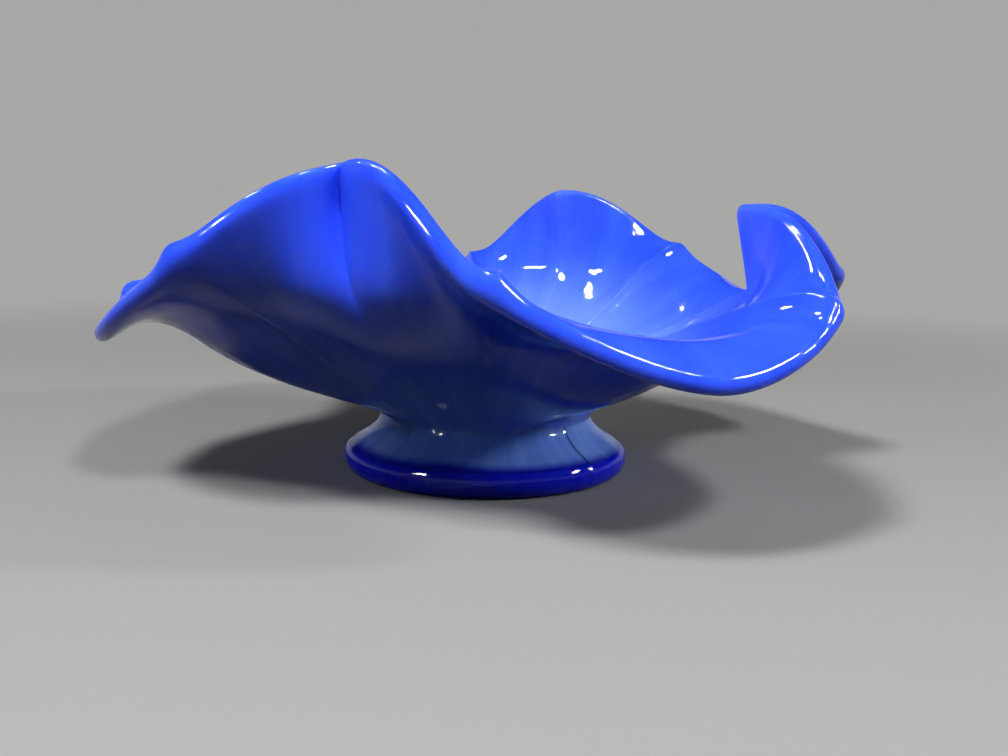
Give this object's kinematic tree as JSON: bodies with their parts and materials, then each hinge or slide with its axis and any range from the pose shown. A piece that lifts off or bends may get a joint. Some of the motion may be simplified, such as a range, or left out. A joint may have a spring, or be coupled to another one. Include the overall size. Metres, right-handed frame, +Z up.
{
  "type": "glass pedestal bowl",
  "caption": "Low bowl of opaque blue glass with a crimped, petal-like rim, set on a flared hollow foot that stands on a clear cobalt ring.",
  "frame": {"origin": "centre of the bowl's outline, on the plane that it stands on; the foot's axis passes through it", "axes": "+Z up through the bowl's mouth, -Y towards the pictured side, with the tall pleat on the left (-X) of that view"},
  "size_m": [0.2288, 0.2313, 0.0935],
  "materials": {
    "opaque_blue_glass": "glossy opaque royal-blue glass, fire-polished, with faint streaks",
    "opaque_blue_glass_foot": "glossy opaque greyish-blue glass",
    "clear_cobalt_glass": "glossy, deep cobalt, lets light in at the edge"
  },
  "bodies": {
    "root": {"bowl": "opaque_blue_glass", "foot": "opaque_blue_glass_foot", "foot_ring": "clear_cobalt_glass"}
  },
  "joints": []
}
